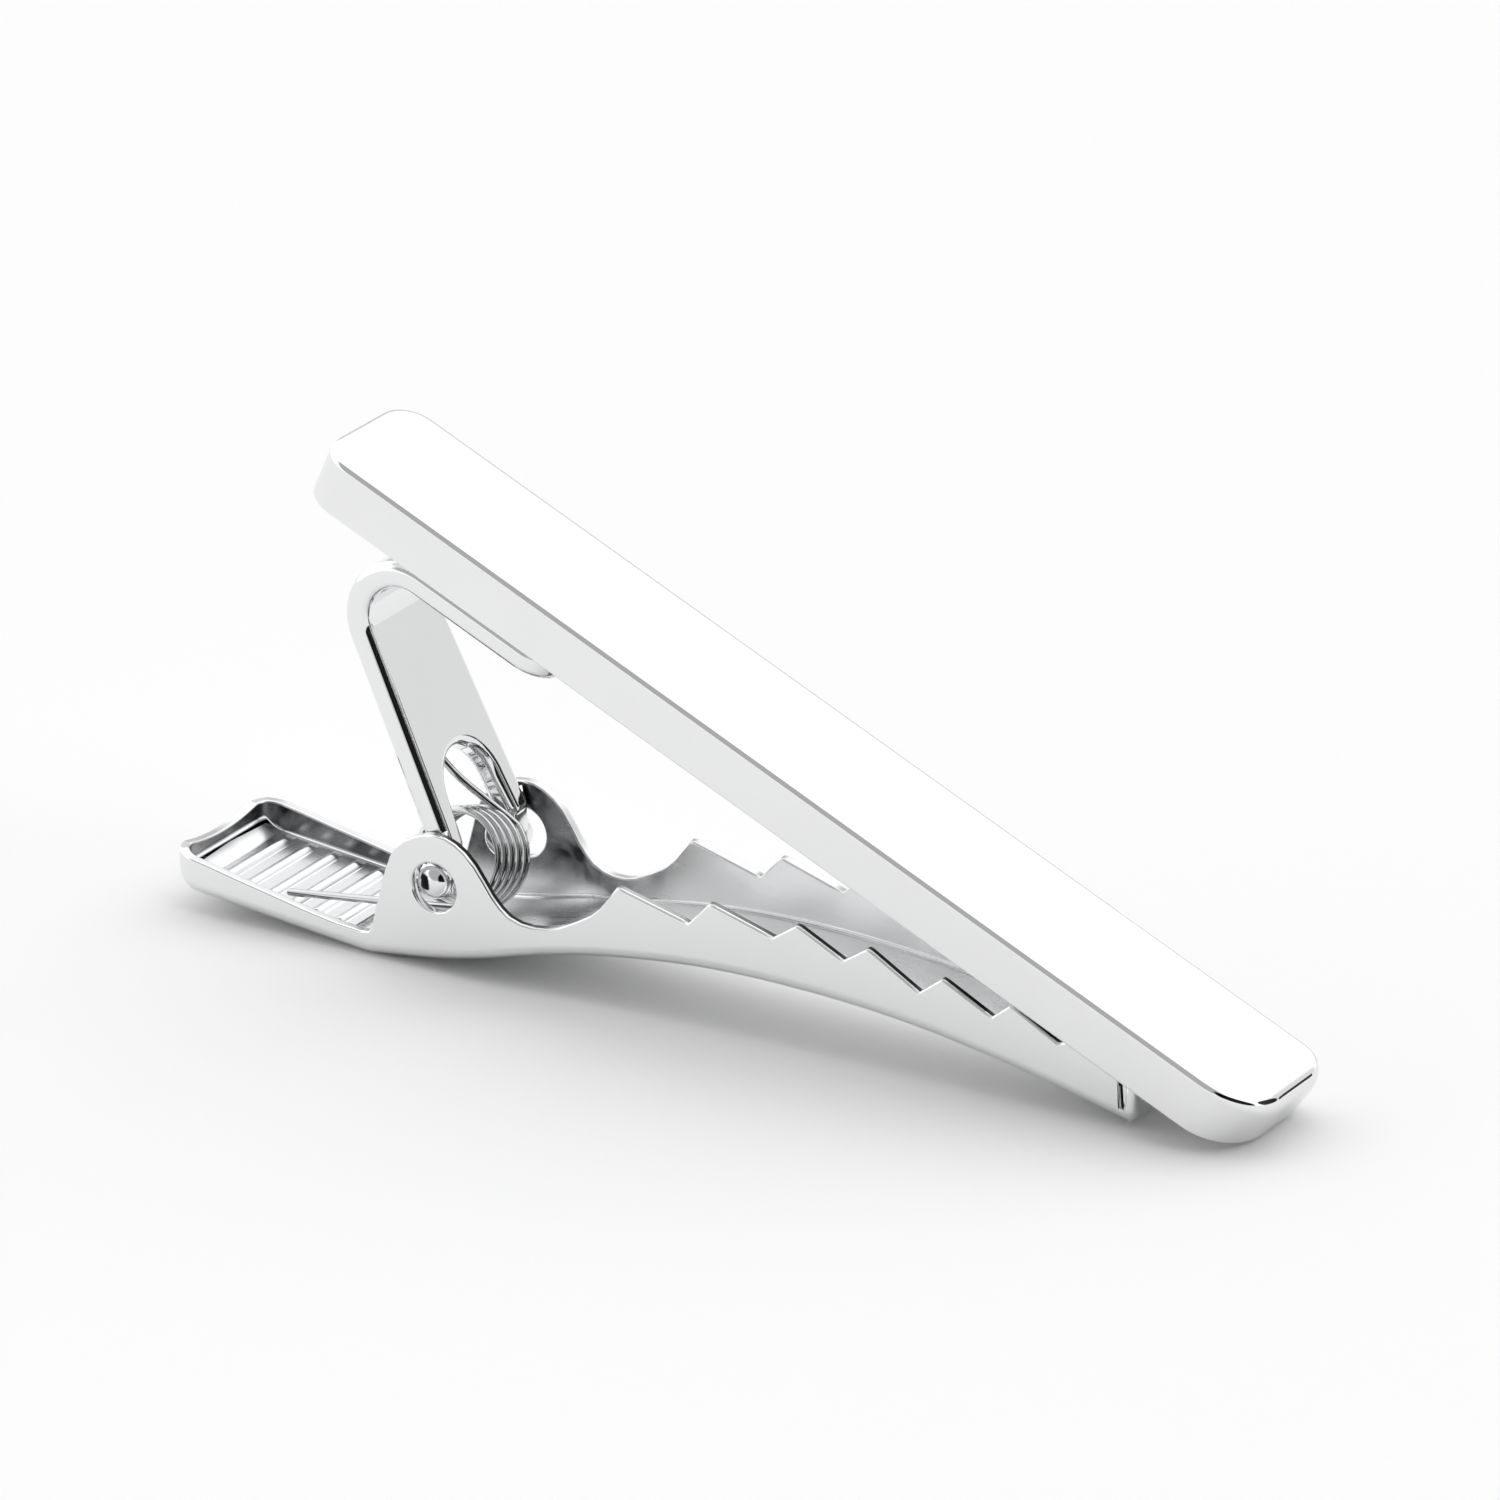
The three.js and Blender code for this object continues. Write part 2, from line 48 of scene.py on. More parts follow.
SHIFT = Vector((2.5147, 0, 0))  # this script's X starts under the bar, the row's under the whole clip

# Sizes in millimetres, the same as the CAD part's.
TILT = math.radians(24.18)
BAR_HEIGHT = 7.697
LEG_SLOPE = math.radians(40.2)
HINGE = (-12.73, 3.07)


def add_object(thing, name):
    made = bpy.data.objects.new(name, thing)
    bpy.context.scene.collection.objects.link(made)
    return made


# ------------------------------------------------------------------ camera

def make_camera():
    azimuth, elevation, distance = math.radians(31.1993), math.radians(23.7633), 400
    right = Vector((math.cos(azimuth), math.sin(azimuth), 0))
    lean = math.sin(elevation)
    up = Vector((-math.sin(azimuth) * lean, math.cos(azimuth) * lean, math.cos(elevation)))
    back = right.cross(up)
    aim = (-0.004752 * right + 0.022029 * up - back).normalized()
    side = (right - right.dot(aim) * aim).normalized()
    data = bpy.data.cameras.new("camera")
    data.sensor_width = 36
    data.lens = 297.16
    data.clip_start, data.clip_end = 0.02, 10
    camera = add_object(data, "camera")
    turn = Matrix((side, (-aim).cross(side), -aim)).transposed()
    camera.matrix_world = Matrix.Translation((back * distance + SHIFT) * MM) @ turn.to_4x4()
    bpy.context.scene.camera = camera


# ------------------------------------------------------------------ meshes

class Skin:
    """Faces with a normal kept for each vertex, so that flats stay flat beside their rounded edges."""

    def __init__(self):
        self.points, self.normals, self.faces, self.weights = [], [], [], []
        self.known = {}
        self.slot, self.slots = 0, []

    def vertex(self, point, normal, weight=0.0):
        key = tuple(round(c * 1e4) for c in point) + tuple(round(c * 8) for c in normal)
        if key not in self.known:
            self.known[key] = len(self.points)
            self.points.append(Vector(point))
            self.normals.append(Vector(normal))
            self.weights.append(weight)
        return self.known[key]

    def face(self, corners):
        ring = [c for i, c in enumerate(corners) if c != corners[i - 1]]
        if len(ring) < 3:
            return
        a, b, c = (self.points[ring[i]] for i in (0, 1, 2))
        flat = (b - a).cross(c - a)
        if len(ring) == 4:
            flat += (c - a).cross(self.points[ring[3]] - a)
        facing = sum((self.normals[i] for i in ring), Vector())
        self.faces.append(ring[::-1] if flat.dot(facing) < 0 else ring)
        self.slots.append(self.slot)

    def strip(self, first, second, closed=True):
        count = len(first)
        for i in range(count if closed else count - 1):
            j = (i + 1) % count
            self.face([first[i], first[j], second[j], second[i]])

    def build(self, name):
        mesh = bpy.data.meshes.new(name)
        mesh.from_pydata([(p + SHIFT) * MM for p in self.points], [], self.faces)
        mesh.polygons.foreach_set("use_smooth", [True] * len(mesh.polygons))
        mesh.polygons.foreach_set("material_index", self.slots)
        mesh.normals_split_custom_set_from_vertices([n.normalized() for n in self.normals])
        mesh.update()
        return add_object(mesh, name)


def mitres(outline, closed=True):
    """Outward offsets at the corners of an anticlockwise outline, for a distance of 1 from its sides."""
    found = []
    count = len(outline)
    for i, p in enumerate(outline):
        before = outline[i - 1] if closed or i else p
        after = outline[(i + 1) % count] if closed or i < count - 1 else p
        a = (Vector(p) - Vector(before))
        b = (Vector(after) - Vector(p))
        a = a.normalized() if a.length > 1e-9 else b.normalized()
        b = b.normalized() if b.length > 1e-9 else a
        total = Vector((a.y + b.y, -a.x - b.x))
        total = total.normalized() if total.length > 1e-9 else Vector((a.y, -a.x))
        reach = 1 / max(0.6, total.dot(Vector((a.y, -a.x))))
        found.append(total * reach)
    return found


def inside(point, outline):
    x, y = point
    odd = False
    for (x0, y0), (x1, y1) in zip(outline, outline[1:] + outline[:1]):
        if (y0 > y) != (y1 > y) and x < (x1 - x0) * (y - y0) / (y1 - y0) + x0:
            odd = not odd
    return odd


def triangles(outline, holes, extra):
    """Triangles over an outline less its holes, using the extra points that lie inside it."""
    points = [Vector(p) for p in outline]
    edges = [(i, (i + 1) % len(outline)) for i in range(len(outline))]
    for hole in holes:
        start = len(points)
        points += [Vector(p) for p in hole]
        edges += [(start + i, start + (i + 1) % len(hole)) for i in range(len(hole))]
    points += [Vector(p) for p in extra if inside(p, outline) and not any(inside(p, h) for h in holes)]
    made = delaunay_2d_cdt(points, edges, [], 1, 1e-7)
    vertices, faces = made[0], made[2]
    kept = []
    for face in faces:
        middle = sum((vertices[i] for i in face), Vector((0, 0))) / len(face)
        if inside(middle, outline) and not any(inside(middle, h) for h in holes):
            kept.append(face)
    return vertices, kept


def plate(skin, outline, extra, thickness, fillet, place, steps=3):
    """A sheet with rounded edges. place(u, v, w) gives a point and the directions of u, v and w there."""

    def vertex(u, v, w, nu, nv, nw):
        point, along, across, out = place(u, v, w)
        return skin.vertex(point, (along * nu + across * nv + out * nw).normalized())

    out = mitres(outline)
    turns = [i / steps * math.pi / 2 for i in range(steps + 1)]
    rings = []
    for side in (1, -1):
        for turn in turns if side > 0 else turns[::-1]:
            inset = fillet * (1 - math.sin(turn))
            height = fillet * (1 - math.cos(turn))
            w = thickness - height if side > 0 else height
            ring = []
            for p, m in zip(outline, out):
                flat = m.normalized() * math.sin(turn)
                u, v = p[0] - m.x * inset, p[1] - m.y * inset
                ring.append(vertex(u, v, w, flat.x, flat.y, side * math.cos(turn)))
            rings.append(ring)
    for first, second in zip(rings, rings[1:]):
        skin.strip(first, second)
    inner = [(p[0] - m.x * fillet, p[1] - m.y * fillet) for p, m in zip(outline, out)]
    vertices, faces = triangles(inner, [], extra)
    for side, w in ((1, thickness), (-1, 0)):
        index = [vertex(v.x, v.y, w, 0, 0, side) for v in vertices]
        for face in faces:
            skin.face([index[i] for i in face])


def arc(x, y, radius, start, end, steps):
    angles = [math.radians(start + (end - start) * i / steps) for i in range(steps + 1)]
    return [(x + radius * math.cos(a), y + radius * math.sin(a)) for a in angles]


def dome(skin, centre, axis, radius, reach):
    """A low rounded pip standing on a short round stem."""
    rows, sides = 8, 40
    axis = Vector(axis)
    across = Vector((1, 0, 0))
    other = axis.cross(across)
    stem = 0.3
    profile = [(radius, -stem, 0.0)]
    for i in range(rows + 1):
        turn = i / rows * math.pi / 2
        profile.append((radius * math.cos(turn), reach * math.sin(turn), turn))
    rings = []
    for r, h, turn in profile:
        ring = []
        for k in range(sides):
            a = 2 * math.pi * k / sides
            out = across * math.cos(a) + other * math.sin(a)
            normal = out * math.cos(turn) * reach + axis * math.sin(turn) * radius
            ring.append(skin.vertex(Vector(centre) + out * r + axis * h, normal.normalized()))
        rings.append(ring)
    for first, second in zip(rings, rings[1:]):
        skin.strip(first, second)


# ------------------------------------------------------------------ the bar's own directions

BAR_ALONG = Vector((math.cos(TILT), 0, -math.sin(TILT)))
BAR_OUT = Vector((math.sin(TILT), 0, math.cos(TILT)))
ACROSS = Vector((0, 1, 0))


def on_bar(s, y, n):
    return BAR_ALONG * s + ACROSS * y + BAR_OUT * n + Vector((0, 0, BAR_HEIGHT))


def front_bar():
    skin = Skin()
    half_length, half_width, height, middle = 19.15, 2.6, 1.9, -0.28
    corner, near_nose, far_nose = 1.25, 2.2, 1.2  # radii in plan
    edge, back_edge, crown = 0.22, 0.08, 0.1
    nose_soft = 1.7  # how much more the edge is rounded at the middle of the nose
    nose_draft = 0.3  # how far the nose's foot lies behind its brow
    slope = nose_draft / height
    corner_points = 17
    crown_reach = half_width - edge
    steep = 2 * crown / crown_reach
    top_lean = math.pi / 2 - math.atan(steep)

    def crown_normal(s, y):
        """Leans across the bar, and along it near its ends, with no crease at the corners."""
        end = max(0, min(1, (abs(s - middle) - half_length + half_width) / crown_reach))
        end = end * end * (3 - 2 * end) * math.copysign(1, s - middle)
        return BAR_OUT + (ACROSS * (y / crown_reach) * (1 - 0.5 * abs(end)) + BAR_ALONG * end) * steep

    def ring(inset, n, lean=None):
        """The outline, inset, at a height n, with normals at one lean or as the crown has them."""
        found = []
        for quarter, sx, sy in ((0, 1, 1), (1, -1, 1), (2, -1, -1), (3, 1, -1)):
            plan = corner if sx < 0 else near_nose if sy < 0 else far_nose
            radius = max(plan, 0.03 + inset) - inset
            shift = min(inset, edge) * max(0, 1 - max(0, inset - edge) / (plan - edge))
            a, b = half_length - inset - radius, half_width - inset - radius
            for i in range(corner_points):
                turn = (quarter + i / (corner_points - 1)) * math.pi / 2
                out = Vector((math.cos(turn), math.sin(turn)))
                s, y = middle + sx * a + radius * out.x, sy * b + radius * out.y
                flat = BAR_ALONG * out.x + ACROSS * out.y
                softer = nose_soft * max(0, out.x) ** 2 if n > back_edge else 0
                s -= softer * shift * out.x
                s -= nose_draft * max(0, out.x) * max(0, 1 - n / height)
                lowered = n - softer * (height - n) if height > n > back_edge else n
                if lean is None:
                    normal = crown_normal(s, y)
                else:
                    undercut = slope * max(0, out.x) * math.cos(lean)
                    normal = flat * math.cos(lean) + BAR_OUT * (math.sin(lean) - undercut)
                found.append(skin.vertex(on_bar(s, y, lowered), normal.normalized()))
        return found

    rings = [ring(inset, 0, -math.pi / 2) for inset in (half_width - 0.05, 1.4, back_edge)]
    for i in range(1, 5):
        turn = i / 4 * math.pi / 2
        inset, rise = back_edge * (1 - math.sin(turn)), back_edge * (1 - math.cos(turn))
        rings.append(ring(inset, rise, turn - math.pi / 2))
    for i in range(12):
        turn = i / 12 * top_lean
        rings.append(ring(edge * (1 - math.cos(turn)), height - edge + edge * math.sin(turn), turn))
    for i in range(13):
        share = i / 12
        rings.append(ring(edge + (crown_reach - 0.02) * share, height + crown * (1 - (1 - share) ** 2)))
    for first, second in zip(rings, rings[1:]):
        skin.strip(first, second)
    for end in (rings[0], rings[-1]):
        for q in range(2):
            left = end[q * corner_points : (q + 1) * corner_points]
            right = end[(3 - q) * corner_points : (4 - q) * corner_points][::-1]
            skin.strip(left, right, closed=False)
        skin.face([end[q * corner_points - k] for q, k in ((1, 1), (1, 0), (3, 1), (3, 0))])
    return skin.build("front_bar_polished")


def solder_seam():
    """A thin slab with round corners and a slightly ragged rim, between the bar's back and the foot."""
    skin = Skin()
    middle, half_long, half_wide, corner_reach = -11.85, 1.92, 1.98, 2.3
    thickness, under, fillet = 0.16, 0.18, 0.05
    outline = []
    for i in range(72):
        a = 2 * math.pi * i / 72
        square = 1 / max(abs(math.cos(a)) / half_long, abs(math.sin(a)) / half_wide)
        ragged = 1 + 0.012 * math.sin(7 * a) + 0.01 * math.sin(11 * a + 1)
        reach = min(square, corner_reach) * ragged
        outline.append((middle + reach * math.cos(a), reach * math.sin(a)))

    def place(u, v, w):
        return on_bar(u, v, w - under), BAR_ALONG, ACROSS, BAR_OUT

    plate(skin, outline, [], thickness, fillet, place)
    return skin.build("solder_seam_bead")


# ------------------------------------------------------------------ clasp strap

STRAP = 0.9  # thickness
HALF_FOOT, LEG_WIDENING = 2.1, 0.35
FOOT_TOP, TONGUE = -0.2, -9.1
FOOT_UNDER = FOOT_TOP - STRAP
LOOP_AT, LOOP_INNER = -14.61, 1.22
LOOP = Vector((LOOP_AT, FOOT_UNDER - LOOP_INNER))
LOOP_MIDDLE = LOOP_INNER + STRAP / 2
LOOP_TURN = math.pi - LEG_SLOPE
LEG_DOWN = Vector((math.cos(LEG_SLOPE), -math.sin(LEG_SLOPE)))
LEG_FRONT = Vector((math.sin(LEG_SLOPE), math.cos(LEG_SLOPE)))
LEG_START = LOOP - LEG_FRONT * LOOP_INNER
FOOT = TONGUE - LOOP_AT
BEND = LOOP_MIDDLE * LOOP_TURN


def bar_vector(flat):
    return BAR_ALONG * flat.x + BAR_OUT * flat.y


def on_strap(u, v, w):
    """u runs from the tongue's end round the loop and down the leg; w runs through the thickness."""
    if u < FOOT:
        flat, along, out = Vector((TONGUE - u, FOOT_TOP - w)), Vector((-1, 0)), Vector((0, -1))
    elif u < FOOT + BEND:
        turn = math.pi / 2 + (u - FOOT) / LOOP_MIDDLE
        ray = Vector((math.cos(turn), math.sin(turn)))
        flat = LOOP + ray * (LOOP_INNER + STRAP - w)
        along, out = Vector((-ray.y, ray.x)), -ray
    else:
        flat = LEG_START + LEG_DOWN * (u - FOOT - BEND) + LEG_FRONT * (w - STRAP)
        along, out = LEG_DOWN, LEG_FRONT
    return on_bar(flat.x, v, flat.y), bar_vector(along), ACROSS, bar_vector(out)


def leg_half_width(t):
    widening_end = 8.4
    return HALF_FOOT + LEG_WIDENING * max(0, min(1, t / widening_end))


def clasp_strap():
    skin = Skin()
    leg = FOOT + BEND
    end, slot, arch = 7.75, 4.65, 1.6
    half_slot, half_slot_end = 1.35, 1.46
    fillet, rounding, tongue_radius = 0.32, 0.35, 1.3
    near = [(FOOT * i / 6, -HALF_FOOT) for i in range(2, 6)]
    near += [(FOOT + BEND * i / 30, -HALF_FOOT) for i in range(31)]
    near += [(leg + t, -leg_half_width(t)) for t in (1, 2, 3, 4, 5, 6, 7)]
    tongue_side = HALF_FOOT - tongue_radius
    outline = arc(tongue_radius, tongue_side, tongue_radius, 90, 180, 12)[:-1]
    outline += [(0, tongue_side * (1 - i / 2)) for i in range(5)]
    outline += arc(tongue_radius, -tongue_side, tongue_radius, 180, 270, 12)[1:] + near
    end_round = leg + end - rounding
    half_end = leg_half_width(end)
    outline += arc(end_round, rounding - half_end, rounding, -90, 0, 4)
    outline += arc(end_round, -half_slot_end - rounding, rounding, 0, 90, 4)
    for i in range(25):
        a = math.radians(-90 - 180 * i / 24)
        outline.append((leg + slot + arch + arch * math.cos(a), half_slot * math.sin(a)))
    outline += arc(end_round, half_slot_end + rounding, rounding, -90, 0, 4)
    outline += arc(end_round, half_end - rounding, rounding, 0, 90, 4)
    outline += [(u, -v) for u, v in reversed(near)]
    extra = [(FOOT + BEND * i / 30, v) for i in range(31) for v in (-1.6, -0.8, 0, 0.8, 1.6)]
    plate(skin, outline, extra, STRAP, fillet, on_strap, steps=6)

    # each tine's lug, from its inner side outwards, with the pip on its outer face
    hinge = Vector((HINGE[0], 0, HINGE[1] - BAR_HEIGHT))
    from_leg = Vector((hinge.dot(BAR_ALONG), hinge.dot(BAR_OUT))) - LEG_START
    down, forward = from_leg.dot(LEG_DOWN), from_leg.dot(LEG_FRONT)
    lug_inner, lug_thickness, lug_fillet = 1.5, 0.95, 0.14
    lug_outer = lug_inner + lug_thickness
    ear_radius, pip_radius, pip_reach = 0.68, 0.61, 0.43
    for side in (1, -1):
        lug = [(6.9, -STRAP + 0.02), (7.35, -STRAP), (7.6, -STRAP - 0.12), (7.76, -STRAP - 0.35)]
        lug += arc(down, forward, ear_radius, 205, 400, 24)
        lug += [(7.9, -0.28), (7.5, -0.12), (6.9, -0.02)]

        def place(u, v, w, side=side):
            flat = LEG_START + LEG_DOWN * u + LEG_FRONT * v
            y = side * (lug_inner + w)
            return on_bar(flat.x, y, flat.y), bar_vector(LEG_DOWN), bar_vector(LEG_FRONT), ACROSS * side

        plate(skin, lug, [], lug_thickness, lug_fillet, place)
        dome(skin, (HINGE[0], side * lug_outer, HINGE[1]), (0, side, 0), pip_radius, pip_reach)
    return skin.build("clasp_strap_folded")


# ------------------------------------------------------------------ toothed jaw

PLATE, INSIDE, EDGE = 0, 1, 2  # the jaw's materials; INSIDE and EDGE carry painted shade and light
SHEET, BENT = 0.35, 0.5  # thickness, and outer radius of the fold
BACK, TIP, PAD_HALF = -22.95, 13.3, 2.9
BACK_CORNER, TIP_CORNER = 1.0, 0.4
HEEL = -15.2
LAST_UNDER = BACK + 0.16  # the walls' foot stays level behind this
UNDERSIDE = [
    (HEEL, 0), (-12.1, 0.45), (-8.4, 1.3), (-4, 1.97), (0, 2.12), (4.6, 1.84), (9, 1.12), (TIP, 0.15),
]
# The upper edge of the side walls: pad rim, ear, saddle, seven teeth, the slit behind the lip.
TOP = [
    (-22.6, 2.06), (-21.3, 1.83), (-20.16, 1.6), (-18.9, 1.37), (-17.5, 1.1), (-16.3, 0.92),
    (-15.4, 0.86), (-15.1, 0.9), (-14.96, 1.1), (-14.74, 2.0), (-14.53, 2.75), (-14.41, 3.24),
    (-14.21, 3.78), (-14.0, 4.12), (-13.7, 4.42), (-13.24, 4.68), (-12.85, 4.82), (-12.47, 4.87),
    (-12.09, 4.84), (-11.71, 4.7), (-11.33, 4.46), (-10.95, 4.09), (-10.6, 3.6), (-10.3, 3.15),
    (-10.0, 2.8), (-9.7, 2.54), (-9.3, 2.38), (-8.9, 2.33), (-8.4, 2.37), (-7.96, 2.49),
    (-7.3, 2.83), (-6.77, 3.16), (-6.39, 3.52), (-6.01, 4.02), (-5.78, 4.34), (-5.62, 4.33),
    (-3.1, 3.68), (-2.32, 4.52), (-2.16, 4.5), (0.05, 3.86), (0.91, 4.46), (1.06, 4.42),
    (2.65, 3.63), (3.53, 4.22), (3.68, 4.17), (5.44, 3.13), (6.27, 3.77), (6.42, 3.72),
    (8.1, 2.86), (8.76, 3.4), (8.9, 3.36), (10.5, 2.48), (11.0, 2.66), (12.7, 1.93),
    (12.78, 0.75), (12.95, 0.72), (13.02, 1.76), (13.3, 1.7),
]


def through(points, x):
    """The height at x on straight lines through the points."""
    if x <= points[0][0]:
        return points[0][1]
    for (x0, z0), (x1, z1) in zip(points, points[1:]):
        if x <= x1:
            return z0 + (z1 - z0) * (x - x0) / (x1 - x0)
    return points[-1][1]


def smooth_through(points, x):
    """The height at x on a smooth curve through the points."""
    count = len(points)

    def slope(i):
        (x0, z0), (x1, z1) = points[max(i - 1, 0)], points[min(i + 1, count - 1)]
        return (z1 - z0) / (x1 - x0)

    i = next((k for k in range(1, count) if points[k][0] >= x), count - 1)
    (x0, z0), (x1, z1) = points[i - 1], points[i]
    span = x1 - x0
    u = (x - x0) / span
    rise = z0 * (1 + 2 * u) * (1 - u) ** 2 + z1 * u * u * (3 - 2 * u)
    return rise + span * (slope(i - 1) * u * (1 - u) ** 2 - slope(i) * u * u * (1 - u))


def underside(x):
    if x >= HEEL:
        return max(0.0, smooth_through(UNDERSIDE, x))
    back_round, pad_slope = 0.9, 0.098
    into = max(0, (BACK + back_round - x) / back_round)
    return pad_slope * (HEEL - x) + back_round * (1 - math.sqrt(max(0, 1 - into * into)))


def half_width(x):
    neck_start, neck_end = -11.2, -6.6
    neck_half, tip_narrowing = 2.47, 0.34
    u = max(0, min(1, (x - neck_start) / (neck_end - neck_start)))
    neck = u * u * (3 - 2 * u)
    taper = max(0, (x - neck_end) / (TIP - neck_end))
    return PAD_HALF + (neck_half - PAD_HALF) * neck - tip_narrowing * taper


def corner_step(x, y, radius, angle):
    out_x, out_y = math.cos(angle), math.sin(angle)
    return x + radius * out_x, y + radius * out_y, out_x, out_y


def plan_path():
    """Half of the jaw's plan, from the middle of the lip round by -Y to the middle of the back.

    Each step is a point and the direction outwards there.
    """
    path = []
    tip_half = half_width(TIP)
    for i in range(6):
        y = -(tip_half - TIP_CORNER) * i / 6
        path.append((TIP, y, 1.0, 0.0))
    for i in range(9):
        a = -math.pi / 2 * i / 8
        path.append(corner_step(TIP - TIP_CORNER, TIP_CORNER - tip_half, TIP_CORNER, a))
    stations = {round(x, 4) for x, z in TOP if BACK + BACK_CORNER < x < TIP - TIP_CORNER - 0.01}
    x = BACK + BACK_CORNER + 0.3
    while x < TIP - TIP_CORNER - 0.2:
        if all(abs(x - s) > 0.12 for s in stations):
            stations.add(round(x, 4))
        x += 0.3
    for x in sorted(stations, reverse=True):
        lean = (half_width(x + 0.05) - half_width(x - 0.05)) / 0.1
        out = Vector((-lean, -1)).normalized()
        path.append((x, -half_width(x), out.x, out.y))
    for i in range(13):
        a = -math.pi / 2 - math.pi / 2 * i / 12
        path.append(corner_step(BACK + BACK_CORNER, BACK_CORNER - PAD_HALF, BACK_CORNER, a))
    for i in range(1, 9):
        path.append((BACK, (BACK_CORNER - PAD_HALF) * (1 - i / 8), -1.0, 0.0))
    return path


def rim_height(x, y):
    """Top of the walls: dipped at the middle of the back, level across the lip."""
    back_rim, dip, half_dip, lip = 2.08, 0.22, 1.9, 1.7
    if x < -22.2 and abs(y) < half_dip:
        return back_rim - dip * (1 - (abs(y) / half_dip) ** 2)
    if x < TOP[0][0]:
        return back_rim
    if x > TIP - 0.2:
        return lip
    return through(TOP, x)


def rib(x, y):
    """Height of the pressed ribs across the thumb pad."""
    if not -22.1 < x < -16.3:
        return 0
    first, pitch, height, half_length, end_slope = -21.5, 0.93, 0.15, 2.25, 0.35
    ridge = max(0, math.cos(2 * math.pi * (x - first) / pitch)) ** 0.8
    ends = max(0, min(1, (half_length - abs(y)) / end_slope))
    return height * ridge * ends * ends * (3 - 2 * ends)


def toothed_jaw():
    skin = Skin()
    half = plan_path()
    path = half + [(x, -y, nx, -ny) for x, y, nx, ny in reversed(half[1:-1])]
    count = len(path)
    fillet, rows, bends = 0.07, 5, 6

    # the top edge laid out flat, for offsets square to it
    run = [0.0]
    for a, b in zip(path, path[1:]):
        run.append(run[-1] + math.hypot(b[0] - a[0], b[1] - a[1]))
    tops = [rim_height(x, y) for x, y, nx, ny in path]
    edge = [-m for m in mitres(list(zip(run, tops)), closed=False)]
    along = []
    for i in range(count):
        ahead, behind = path[(i + 1) % count], path[i - 1]
        along.append(Vector((ahead[0] - behind[0], ahead[1] - behind[1], 0)).normalized())

    def wall(i, w, z, inset=0.0, turn=0.0, face=1):
        x, y, nx, ny = path[i]
        out = Vector((nx, ny, 0))
        m = edge[i]
        point = Vector((x, y, z)) - out * w - along[i] * m.x * inset - Vector((0, 0, m.y * inset))
        over_edge = (along[i] * m.x + Vector((0, 0, m.y))).normalized()
        return skin.vertex(point, out * face * math.cos(turn) + over_edge * math.sin(turn))

    layers = []
    for face, depth in ((1, 0.0), (-1, SHEET)):
        radius = BENT - depth
        for k in range(bends + 1):
            turn = k / bends * math.pi / 2
            ring = []
            for i, (x, y, nx, ny) in enumerate(path):
                out = Vector((nx, ny, 0))
                base = underside(max(x, LAST_UNDER)) + depth
                reach = radius - radius * math.sin(turn)
                point = Vector((x, y, base + radius - radius * math.cos(turn))) - out * (depth + reach)
                normal = out * math.sin(turn) - Vector((0, 0, math.cos(turn)))
                ring.append(skin.vertex(point, normal * face))
            layers.append((face, ring))
        for k in range(1, rows + 1):
            ring = []
            share = k / rows
            for i in range(count):
                foot = underside(max(path[i][0], LAST_UNDER)) + BENT
                height = foot + (tops[i] - foot) * share
                ring.append(wall(i, depth, height, inset=fillet * share, face=face))
            layers.append((face, ring))
    outer = [ring for face, ring in layers if face > 0]
    inner = [ring for face, ring in layers if face < 0]

    def rim(w, turn, face):
        inset = fillet * (1 - math.sin(turn))
        return [wall(i, w, tops[i], inset=inset, turn=turn, face=face) for i in range(count)]

    # over the top edge, from the outer face to the inner; the last rings bound its sheared part
    quarter = [k / 4 * math.pi / 2 for k in range(1, 5)]
    over = [rim(fillet * (1 - math.cos(turn)), turn, 1) for turn in quarter]
    sheared = len(over)
    over.append(rim(SHEET * 0.34, math.pi / 2, 1))
    over += [rim(SHEET - fillet * (1 - math.cos(turn)), turn, -1) for turn in reversed(quarter)]

    hole_x, hole_z, hole_r = HINGE[0] + 0.22, HINGE[1] - 0.04, 0.86
    ear = [i for i in range(count) if -14.0 <= path[i][0] <= -11.3 and abs(path[i][1]) > 2]
    ear_faces = {i for i in ear if (i + 1) % count in ear}

    def joined(first, second, skip):
        for i in range(count):
            if skip and i in ear_faces:
                continue
            j = (i + 1) % count
            skin.face([first[i], first[j], second[j], second[i]])

    for group in (outer, inner):
        skin.slot = INSIDE if group is inner else PLATE
        for k, (first, second) in enumerate(zip(group, group[1:])):
            joined(first, second, k >= bends)
    skin.slot = PLATE
    joined(outer[-1], over[0], False)
    for k, (first, second) in enumerate(zip(over, over[1:])):
        skin.slot = EDGE if k >= sheared else PLATE
        joined(first, second, False)
    joined(over[-1], inner[-1], False)

    # floors, from one side to the other; the inner one carries the ribs
    mirror = [(count - i) % count for i in range(count)]
    for group, face in ((outer, 1), (inner, -1)):
        skin.slot = INSIDE if group is inner else PLATE
        start = group[0]
        for i in range(count // 2):
            a, b = start[i], start[i + 1]
            c, d = start[mirror[i + 1]], start[mirror[i]]
            on_pad = path[i][0] < -16 and path[i + 1][0] < -16
            if face < 0 and on_pad and path[i][0] - path[i + 1][0] > 1e-6:
                continue
            skin.face([a, b, c, d])
    base = [skin.points[inner[0][i]] for i in range(count // 2 + 1) if path[i][0] < -15.9]
    ends = sorted({(round(b.x, 5), round(-b.y, 5)) for b in base})
    low, high = ends[0][0], ends[-1][0]
    fine = [low + (high - low) * i / 110 for i in range(111)]

    def floor_half(x):
        return through(ends, x)

    def floor_z(x, y):
        return underside(max(x - 0.3, LAST_UNDER) if x < BACK + 1 else x) + SHEET + rib(x, y)

